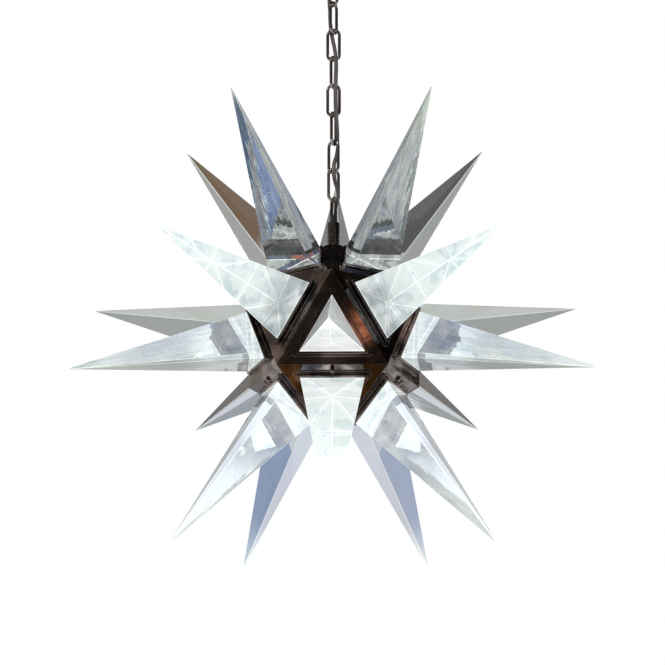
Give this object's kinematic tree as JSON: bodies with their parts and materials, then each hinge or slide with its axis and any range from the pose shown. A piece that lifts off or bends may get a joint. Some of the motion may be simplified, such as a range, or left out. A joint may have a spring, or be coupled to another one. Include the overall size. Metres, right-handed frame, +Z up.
{
  "type": "crystal spike pendant light",
  "caption": "Starburst pendant light: clear crystal spikes on every face of a black mirror icosahedron frame with lamps inside, hung from a ceiling canopy by a chain with a woven cord.",
  "frame": {"origin": "on the ceiling at the middle of the mounting strap's top face, on the chain's axis", "axes": "+Z up, -Y towards the front of the star as pictured, +X to the right seen from the front"},
  "size_m": [0.6168, 0.6486, 0.8184],
  "materials": {
    "black_nickel": "mirror polished, black nickel plated",
    "chain_metal": "black nickel plated wire",
    "clear_crystal": "cut and polished clear crystal",
    "plated_steel": "zinc plated",
    "cluster_metal": "white enamel",
    "cord_jacket": "smooth flat twin jacket, brown grey",
    "black_plastic": "moulded",
    "white_ceramic": "glazed ceramic",
    "lamp_glass": "frosted capsule",
    "lead_insulation": "high temperature sleeve"
  },
  "bodies": {
    "ceiling": {"mounting_strap": "plated_steel", "canopy_nipple": "plated_steel", "strap_lock_nuts": "plated_steel", "ground_screw": "plated_steel", "ceiling_canopy": "black_nickel", "canopy_loop": "black_nickel", "power_cord": "cord_jacket"},
    "canopy_ring_nut": {"canopy_ring_nut": "black_nickel"},
    "link_1": {"chain_link_1": "chain_metal"},
    "link_2": {"chain_link_2": "chain_metal"},
    "link_3": {"chain_link_3": "chain_metal"},
    "link_4": {"chain_link_4": "chain_metal"},
    "link_5": {"chain_link_5": "chain_metal"},
    "link_6": {"chain_link_6": "chain_metal"},
    "link_7": {"chain_link_7": "chain_metal"},
    "link_8": {"chain_link_8": "chain_metal"},
    "pendant": {"fixture_loop": "black_nickel", "cord_bushing": "black_plastic", "stem_barrel": "black_nickel", "stem_pipe": "plated_steel", "top_hub": "plated_steel", "hub_washer": "plated_steel", "hub_nut": "plated_steel", "cluster_lock_nuts": "plated_steel", "cluster_cup": "cluster_metal", "cluster_lid": "cluster_metal", "lamp_holders": "white_ceramic", "capsule_lamps": "lamp_glass", "lead_wires": "lead_insulation", "splice_cap": "black_plastic", "face_frames_top": "black_nickel", "face_frames_upper": "black_nickel", "face_frames_lower": "black_nickel", "face_frames_bottom": "black_nickel", "crystal_top_1": "clear_crystal", "crystal_top_2": "clear_crystal", "crystal_top_3": "clear_crystal", "crystal_top_4": "clear_crystal", "crystal_top_5": "clear_crystal", "crystal_upper_1": "clear_crystal", "crystal_upper_2": "clear_crystal", "crystal_upper_3": "clear_crystal", "crystal_upper_4": "clear_crystal", "crystal_upper_5": "clear_crystal", "crystal_lower_1": "clear_crystal", "crystal_lower_2": "clear_crystal", "crystal_lower_3": "clear_crystal", "crystal_lower_4": "clear_crystal", "crystal_lower_5": "clear_crystal", "crystal_grub_screws": "black_nickel"},
    "bottom_crystal_1": {"crystal_bottom_1": "clear_crystal"},
    "thumbscrew_1": {"thumbscrew_1": "black_nickel"},
    "bottom_crystal_2": {"crystal_bottom_2": "clear_crystal"},
    "thumbscrew_2": {"thumbscrew_2": "black_nickel"},
    "bottom_crystal_3": {"crystal_bottom_3": "clear_crystal"},
    "thumbscrew_3": {"thumbscrew_3": "black_nickel"},
    "bottom_crystal_4": {"crystal_bottom_4": "clear_crystal"},
    "thumbscrew_4": {"thumbscrew_4": "black_nickel"},
    "bottom_crystal_5": {"crystal_bottom_5": "clear_crystal"},
    "thumbscrew_5": {"thumbscrew_5": "black_nickel"}
  },
  "joints": [
    {"name": "link_1_swing", "type": "hinge", "parent": "ceiling", "child": "link_1", "pos_m": [0, 0, -0.0723], "axis": [0.6428, 0.766, 0], "range_deg": [-30, 30], "deforming": ["power_cord"]},
    {"name": "link_2_swing", "type": "hinge", "parent": "link_1", "child": "link_2", "pos_m": [0, 0, -0.1101], "axis": [-0.6428, 0.766, 0], "range_deg": [-30, 30], "deforming": ["power_cord"]},
    {"name": "link_3_swing", "type": "hinge", "parent": "link_2", "child": "link_3", "pos_m": [0, 0, -0.1478], "axis": [-0.5, -0.866, 0], "range_deg": [-30, 30], "deforming": ["power_cord"]},
    {"name": "link_4_swing", "type": "hinge", "parent": "link_3", "child": "link_4", "pos_m": [0, 0, -0.1855], "axis": [0.9976, -0.0698, 0], "range_deg": [-30, 30], "deforming": ["power_cord"]},
    {"name": "link_5_swing", "type": "hinge", "parent": "link_4", "child": "link_5", "pos_m": [0, 0, -0.2232], "axis": [0.4067, 0.9135, 0], "range_deg": [-30, 30], "deforming": ["power_cord"]},
    {"name": "link_6_swing", "type": "hinge", "parent": "link_5", "child": "link_6", "pos_m": [0, 0, -0.2609], "axis": [-0.9986, 0.0523, 0], "range_deg": [-30, 30], "deforming": ["power_cord"]},
    {"name": "link_7_swing", "type": "hinge", "parent": "link_6", "child": "link_7", "pos_m": [0, 0, -0.2986], "axis": [-0.342, -0.9397, 0], "range_deg": [-30, 30], "deforming": ["power_cord"]},
    {"name": "link_8_swing", "type": "hinge", "parent": "link_7", "child": "link_8", "pos_m": [0, 0, -0.3363], "axis": [0.7986, -0.6018, 0], "range_deg": [-30, 30], "deforming": ["power_cord"]},
    {"name": "pendant_swing", "type": "hinge", "parent": "link_8", "child": "pendant", "pos_m": [0, 0, -0.374], "axis": [-0.8192, -0.5736, 0], "range_deg": [-30, 30], "deforming": ["power_cord"]},
    {"name": "ring_nut_turn", "type": "hinge", "parent": "ceiling", "child": "canopy_ring_nut", "pos_m": [0, 0, -0.0315], "axis": [0, 0, -1], "range_deg": [0, 720]},
    {"name": "bottom_crystal_1_pull", "type": "slide", "parent": "pendant", "child": "bottom_crystal_1", "axis": [0, -0.6071, -0.7947], "range_m": [0, 0.08]},
    {"name": "thumbscrew_1_turn", "type": "hinge", "parent": "pendant", "child": "thumbscrew_1", "pos_m": [0, -0.08428, -0.61295], "axis": [0, -0.7947, 0.6071], "range_deg": [0, 720]},
    {"name": "bottom_crystal_2_pull", "type": "slide", "parent": "pendant", "child": "bottom_crystal_2", "axis": [0.5774, -0.1876, -0.7947], "range_m": [0, 0.08]},
    {"name": "thumbscrew_2_turn", "type": "hinge", "parent": "pendant", "child": "thumbscrew_2", "pos_m": [0.08015, -0.02604, -0.61295], "axis": [0.7558, -0.2456, 0.6071], "range_deg": [0, 720]},
    {"name": "bottom_crystal_3_pull", "type": "slide", "parent": "pendant", "child": "bottom_crystal_3", "axis": [0.3568, 0.4911, -0.7947], "range_m": [0, 0.08]},
    {"name": "thumbscrew_3_turn", "type": "hinge", "parent": "pendant", "child": "thumbscrew_3", "pos_m": [0.04954, 0.06818, -0.61295], "axis": [0.4671, 0.6429, 0.6071], "range_deg": [0, 720]},
    {"name": "bottom_crystal_4_pull", "type": "slide", "parent": "pendant", "child": "bottom_crystal_4", "axis": [-0.3568, 0.4911, -0.7947], "range_m": [0, 0.08]},
    {"name": "thumbscrew_4_turn", "type": "hinge", "parent": "pendant", "child": "thumbscrew_4", "pos_m": [-0.04954, 0.06818, -0.61295], "axis": [-0.4671, 0.6429, 0.6071], "range_deg": [0, 720]},
    {"name": "bottom_crystal_5_pull", "type": "slide", "parent": "pendant", "child": "bottom_crystal_5", "axis": [-0.5774, -0.1876, -0.7947], "range_m": [0, 0.08]},
    {"name": "thumbscrew_5_turn", "type": "hinge", "parent": "pendant", "child": "thumbscrew_5", "pos_m": [-0.08015, -0.02604, -0.61295], "axis": [-0.7558, -0.2456, 0.6071], "range_deg": [0, 720]}
  ]
}
